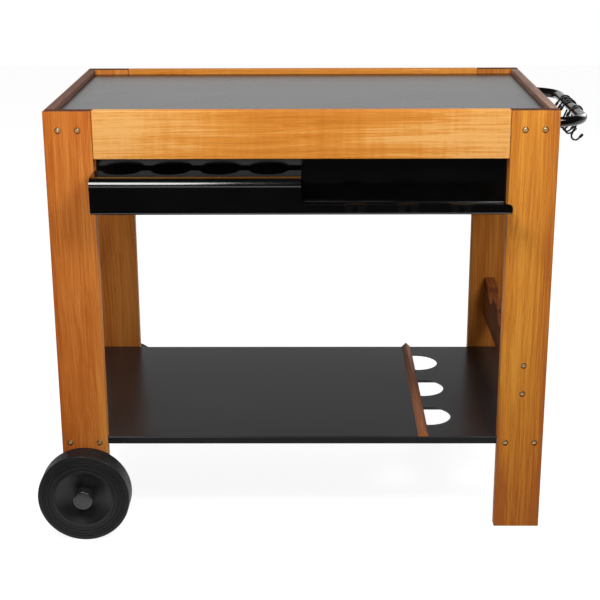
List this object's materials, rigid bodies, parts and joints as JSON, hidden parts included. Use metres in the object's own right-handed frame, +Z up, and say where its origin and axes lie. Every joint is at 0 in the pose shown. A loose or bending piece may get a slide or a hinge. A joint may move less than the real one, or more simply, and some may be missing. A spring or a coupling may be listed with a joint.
{
  "type": "griddle cart",
  "caption": "Wooden serving cart with a black steel top and shelf, bent steel front tray, leaning-bottle rack, wheels at one end and a tube handle with hooks at the other.",
  "frame": {"origin": "bottom centre of the bounding box of the whole, on the ground", "axes": "+X towards the handle end, +Y from the front tray to the back, +Z up"},
  "size_m": [1.1814, 0.7734, 0.922],
  "materials": {
    "leg_wood": "oiled honey hardwood, satin",
    "rail_wood": "oiled honey hardwood, satin",
    "frame_wood": "oiled hardwood, satin",
    "dark_wood": "oiled reddish brown hardwood, satin",
    "dowel_wood": "plain beech",
    "panel_steel": "black satin powder coat",
    "shelf_steel": "charcoal satin powder coat",
    "tray_steel": "black semi-gloss powder coat",
    "zinc_steel": "zinc plated",
    "black_screw": "black oxide",
    "yellow_steel": "yellow plated, bright",
    "axle_steel": "zinc plated",
    "handle_steel": "gloss black",
    "hook_steel": "gloss black",
    "hook_rubber": "soft black",
    "tyre_rubber": "satin black rubber",
    "hub_plastic": "matt black moulding",
    "cap_plastic": "satin black moulding"
  },
  "bodies": {
    "carcass": {"leg_front_left": "leg_wood", "leg_front_right": "leg_wood", "leg_back_left": "leg_wood", "leg_back_right": "leg_wood", "front_rail": "rail_wood", "back_rail": "rail_wood", "top_bearer_left": "frame_wood", "top_bearer_right": "frame_wood", "top_mid_bearer": "frame_wood", "shelf_bearer_left": "frame_wood", "shelf_bearer_right": "frame_wood", "edge_strip_left": "dark_wood", "edge_strip_right": "dark_wood", "bottle_batten": "dark_wood", "bottle_rack": "dark_wood", "rail_dowels": "dowel_wood", "top_panel": "panel_steel", "panel_stiffeners": "panel_steel", "lower_shelf": "shelf_steel", "shelf_stiffeners": "shelf_steel", "front_tray": "tray_steel", "panel_studs": "zinc_steel", "shelf_studs": "zinc_steel", "stud_nuts": "zinc_steel", "barrel_nuts": "zinc_steel", "corner_brackets": "zinc_steel", "bracket_screws": "zinc_steel", "strip_screws": "zinc_steel", "batten_screws": "zinc_steel", "handle_hanger_bolts": "zinc_steel", "handle_plugs": "zinc_steel", "tray_screws": "black_screw", "leg_bolts": "yellow_steel", "axle": "axle_steel", "axle_washers": "axle_steel", "axle_clips": "axle_steel", "handle": "handle_steel"},
    "wheel_front": {"wheel_tyre_front": "tyre_rubber", "wheel_hub_front": "hub_plastic", "hub_cap_front": "cap_plastic"},
    "wheel_rear": {"wheel_tyre_rear": "tyre_rubber", "wheel_hub_rear": "hub_plastic", "hub_cap_rear": "cap_plastic"},
    "hook_1": {"hook_1": "hook_steel", "hook_sleeves_1": "hook_rubber"},
    "hook_2": {"hook_2": "hook_steel", "hook_sleeves_2": "hook_rubber"},
    "hook_3": {"hook_3": "hook_steel", "hook_sleeves_3": "hook_rubber"},
    "hook_4": {"hook_4": "hook_steel", "hook_sleeves_4": "hook_rubber"}
  },
  "joints": [
    {"name": "wheel_front_spin", "type": "hinge", "parent": "carcass", "child": "wheel_front", "pos_m": [-0.49216, -0.34142, 0.0985], "axis": [0, 1, 0], "continuous": true},
    {"name": "wheel_rear_spin", "type": "hinge", "parent": "carcass", "child": "wheel_rear", "pos_m": [-0.49216, 0.35058, 0.0985], "axis": [0, 1, 0], "continuous": true},
    {"name": "hook_1_swing", "type": "hinge", "parent": "carcass", "child": "hook_1", "pos_m": [0.57234, -0.07242, 0.88], "axis": [0, 1, 0], "range_deg": [-60, 60]},
    {"name": "hook_2_swing", "type": "hinge", "parent": "carcass", "child": "hook_2", "pos_m": [0.57234, 0.00258, 0.88], "axis": [0, 1, 0], "range_deg": [-60, 60]},
    {"name": "hook_3_swing", "type": "hinge", "parent": "carcass", "child": "hook_3", "pos_m": [0.57234, 0.02858, 0.88], "axis": [0, 1, 0], "range_deg": [-60, 60]},
    {"name": "hook_4_swing", "type": "hinge", "parent": "carcass", "child": "hook_4", "pos_m": [0.57234, 0.06458, 0.88], "axis": [0, 1, 0], "range_deg": [-60, 60]}
  ]
}
